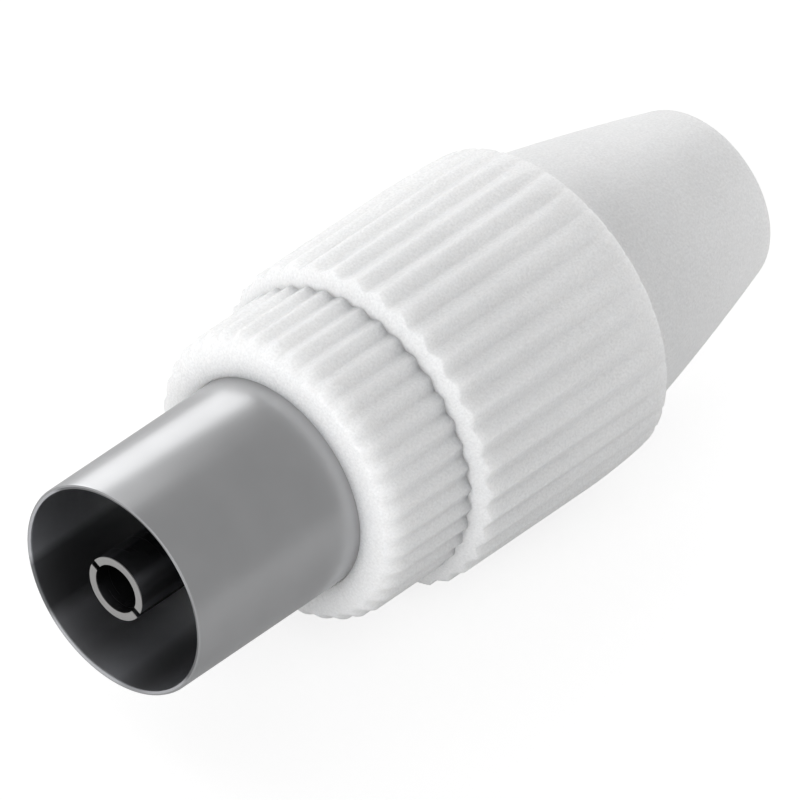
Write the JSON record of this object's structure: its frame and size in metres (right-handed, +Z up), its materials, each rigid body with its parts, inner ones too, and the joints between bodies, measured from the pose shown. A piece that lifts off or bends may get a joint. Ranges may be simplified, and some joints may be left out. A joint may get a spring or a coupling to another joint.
{
  "type": "coaxial antenna connector",
  "caption": "Coaxial aerial socket: bare metal mating sleeve with a slotted centre contact, a ribbed front ring, and a ribbed screw-on hood that runs out into a smooth cone with a cable hole.",
  "frame": {"origin": "centre of the mating face, on the connector's axis", "axes": "+X along the axis from the mating face to the cable end, +Z up as it lies on its barrel's ribs, open side of the cable trough up"},
  "size_m": [0.0373, 0.0154, 0.0154],
  "materials": {
    "plated_sheet": "bright nickel plate on thin sheet",
    "insulator": "plain moulded",
    "plated_contact": "nickel plate on turned metal",
    "screw_steel": "zinc plated",
    "white_plastic": "white moulded, fine satin"
  },
  "bodies": {
    "core": {"shield_sleeve": "plated_sheet", "contact_insulator": "insulator", "centre_contact": "plated_contact"},
    "ring": {"front_ring": "white_plastic"},
    "hood": {"rear_hood": "white_plastic"},
    "screw": {"terminal_screw": "screw_steel"}
  },
  "joints": [
    {"name": "ring_turn", "type": "hinge", "parent": "core", "child": "ring", "pos_m": [0.0123, 0, 0], "axis": [-1, 0, 0], "range_deg": [0, 1620]},
    {"name": "hood_slide", "type": "slide", "parent": "core", "child": "hood", "axis": [1, 0, 0], "range_m": [0, 0.0045]},
    {"name": "screw_travel", "type": "slide", "parent": "core", "child": "screw", "axis": [0, 0, 1], "range_m": [0, 0.00095]}
  ],
  "couplings": [
    {"joint": "ring_turn", "follows": "hood_slide", "rad_per_m": 6283.2}
  ]
}
